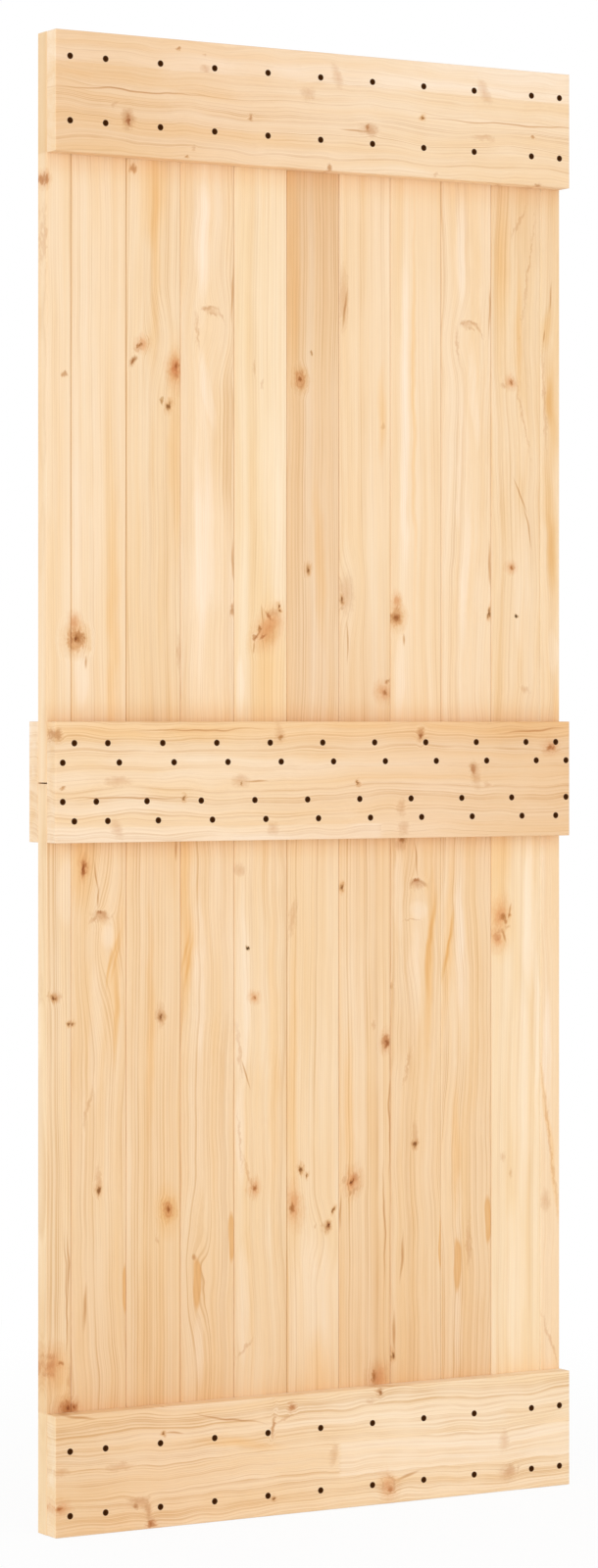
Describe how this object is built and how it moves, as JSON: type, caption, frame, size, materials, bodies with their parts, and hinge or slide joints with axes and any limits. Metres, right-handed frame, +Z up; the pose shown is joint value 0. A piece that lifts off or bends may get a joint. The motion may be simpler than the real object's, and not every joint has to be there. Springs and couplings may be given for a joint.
{
  "type": "sliding door leaf",
  "caption": "Upright pine sliding door leaf: tongue-and-groove boards in two lengths, screwed to wide cross rails at top, middle and bottom, with a matching rail behind the middle one.",
  "frame": {"origin": "middle of the leaf's bottom edge, halfway through the thickness of the boards", "axes": "+X across the leaf to the right as seen from the front, +Y from the front with its rails towards the back, +Z up"},
  "size_m": [0.85, 0.081, 2.08],
  "materials": {
    "upper_boards": "planed knotty pine, unfinished",
    "lower_boards": "planed knotty pine, unfinished, a little warmer",
    "rails": "planed pine, unfinished, edges eased",
    "screws": "dark brown-black coated steel, satin"
  },
  "bodies": {
    "root": {"upper_board_1": "upper_boards", "upper_board_2": "upper_boards", "upper_board_3": "upper_boards", "upper_board_4": "upper_boards", "upper_board_5": "upper_boards", "upper_board_6": "upper_boards", "upper_board_7": "upper_boards", "upper_board_8": "upper_boards", "upper_board_9": "upper_boards", "upper_board_10": "upper_boards", "upper_board_11": "upper_boards", "lower_board_1": "lower_boards", "lower_board_2": "lower_boards", "lower_board_3": "lower_boards", "lower_board_4": "lower_boards", "lower_board_5": "lower_boards", "lower_board_6": "lower_boards", "lower_board_7": "lower_boards", "lower_board_8": "lower_boards", "lower_board_9": "lower_boards", "lower_board_10": "lower_boards", "lower_board_11": "lower_boards", "top_rail": "rails", "middle_rail_front": "rails", "middle_rail_back": "rails", "bottom_rail": "rails", "top_rail_screws": "screws", "middle_rail_screws": "screws", "bottom_rail_screws": "screws"}
  },
  "joints": []
}
